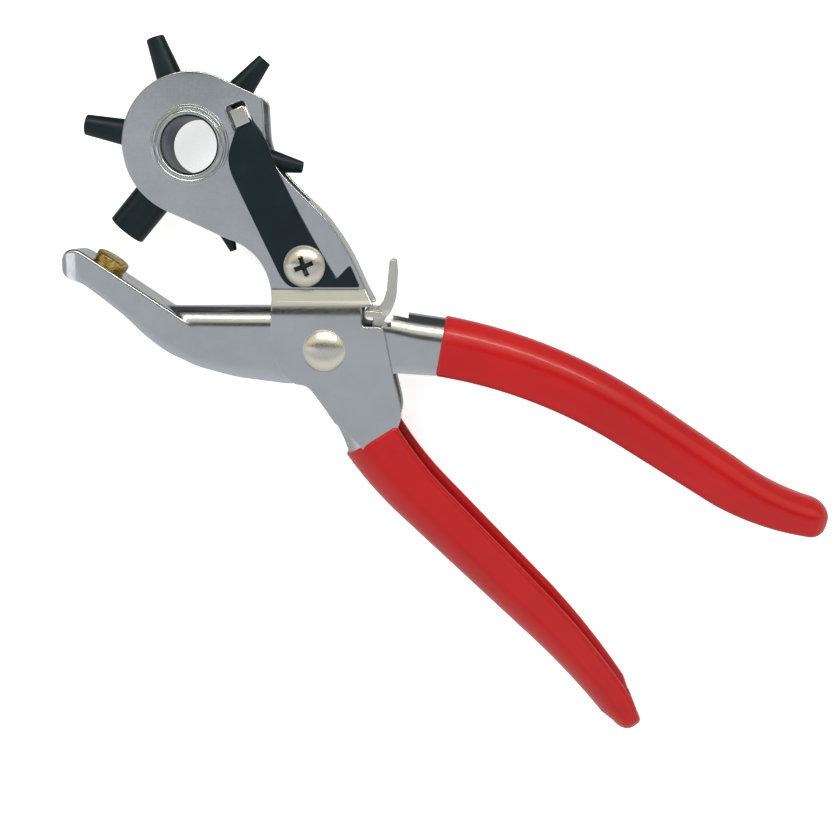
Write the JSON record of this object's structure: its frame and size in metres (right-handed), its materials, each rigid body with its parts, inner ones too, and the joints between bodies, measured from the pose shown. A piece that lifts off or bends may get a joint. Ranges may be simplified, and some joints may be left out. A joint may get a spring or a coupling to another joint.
{
  "type": "rotary hole punch",
  "caption": "Revolving hole punch pliers: a turning wheel of black steel punch tubes over a brass anvil, on two sprung pressed-steel levers with red vinyl grips.",
  "frame": {"origin": "on the punch wheel's axis, half-way between the two cheeks, in the bore of the hollow wheel rivet", "axes": "+Z along the wheel's and the levers' pivot axes, out of the side that carries the index leaf; +X towards the handles, along the longest extent; +Y up the head, away from the handles"},
  "size_m": [0.2135, 0.1944, 0.0242],
  "materials": {
    "nickel_sheet": "satin nickel-plated pressed sheet with fine brushing, brighter on rolled edges",
    "nickel_bright": "bright nickel plate with light handling marks",
    "zinc_steel": "dull zinc-plated steel",
    "wheel_steel": "turned grey steel",
    "spring_steel": "oiled spring wire",
    "black_steel": "blue-black oxide, semi-gloss",
    "brass": "turned brass with a dulled, dented working face",
    "red_vinyl": "glossy dipped vinyl"
  },
  "bodies": {
    "wheel_lever": {"wheel_lever": "nickel_sheet", "wheel_rivet": "nickel_bright", "wheel_washer_front": "nickel_bright", "wheel_washer_back": "nickel_bright", "index_screw": "nickel_bright", "index_spacer": "zinc_steel", "index_nut": "zinc_steel", "pivot_rivet": "nickel_bright", "pivot_washer_front": "zinc_steel", "pivot_washer_back": "zinc_steel", "return_spring": "spring_steel", "grip_lower": "red_vinyl"},
    "anvil_lever": {"anvil_lever": "nickel_sheet", "anvil": "brass", "latch_pin": "zinc_steel", "grip_right": "red_vinyl"},
    "punch_wheel": {"punch_wheel": "wheel_steel", "punch_tube_1": "black_steel", "punch_tube_2": "black_steel", "punch_tube_3": "black_steel", "punch_tube_4": "black_steel", "punch_tube_5": "black_steel", "punch_tube_6": "black_steel"},
    "index_leaf": {"index_leaf": "black_steel", "index_nose": "nickel_bright"},
    "lock_latch": {"lock_latch": "nickel_bright"}
  },
  "joints": [
    {"name": "lever_pivot", "type": "hinge", "parent": "wheel_lever", "child": "anvil_lever", "pos_m": [0.035, -0.0543, 0], "axis": [0, 0, -1], "range_deg": [0, 7.2], "stiffness_Nm_per_rad": 1.6, "springref_deg": -17.19, "deforming": ["return_spring"]},
    {"name": "wheel_spin", "type": "hinge", "parent": "wheel_lever", "child": "punch_wheel", "pos_m": [0, 0, 0], "axis": [0, 0, 1], "continuous": true},
    {"name": "index_flex", "type": "hinge", "parent": "wheel_lever", "child": "index_leaf", "pos_m": [0.0274, -0.0255, 0.0077], "axis": [0.9205, 0.3907, 0], "range_deg": [0, 4], "stiffness_Nm_per_rad": 1.5, "springref_deg": -1.72, "deforming": ["index_leaf"]},
    {"name": "latch_pivot", "type": "hinge", "parent": "anvil_lever", "child": "lock_latch", "pos_m": [0.0496, -0.0506, 0], "axis": [0, 0, -1], "range_deg": [0, 22]}
  ]
}
